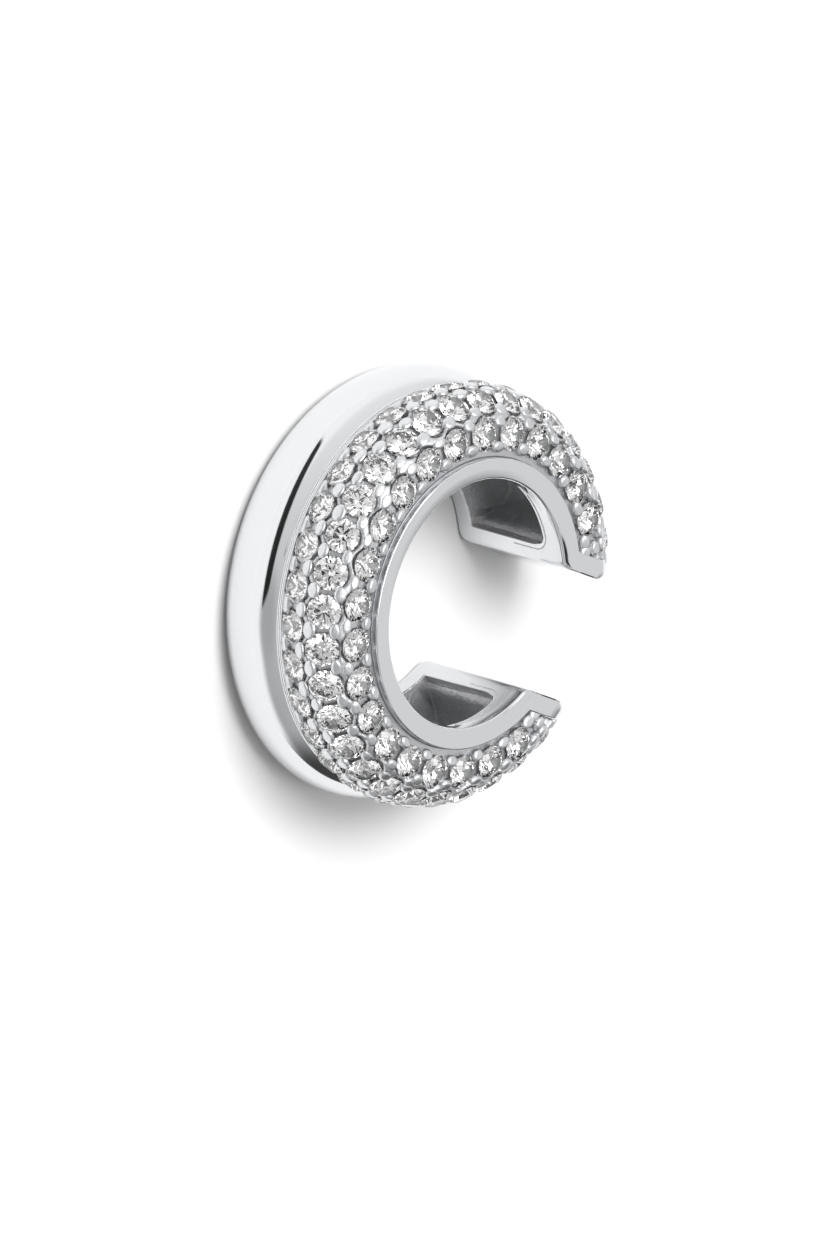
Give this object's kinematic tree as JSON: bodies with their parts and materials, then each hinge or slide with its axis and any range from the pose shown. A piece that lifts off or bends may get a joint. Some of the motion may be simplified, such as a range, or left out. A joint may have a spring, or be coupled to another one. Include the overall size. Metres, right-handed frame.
{
  "type": "ear cuff",
  "caption": "Ear cuff, a C-shaped double band: one band plain and domed, the other domed and set with rows of round clear stones.",
  "frame": {"origin": "centre of the cuff's footprint, on the surface that it rests on", "axes": "+Z along the ring axis from the plain band to the stone-set band, +X from the ring axis out through the gap, +Y across the gap"},
  "size_m": [0.0144, 0.0148, 0.0051],
  "materials": {
    "polished_silver": "rhodium-plated silver, mirror polished outside, rough as cast inside the channel",
    "set_stones": "round brilliant-cut clear cubic zirconia, bead set in polished silver"
  },
  "bodies": {
    "root": {"cuff_body": "polished_silver", "pave_field": "set_stones"}
  },
  "joints": []
}
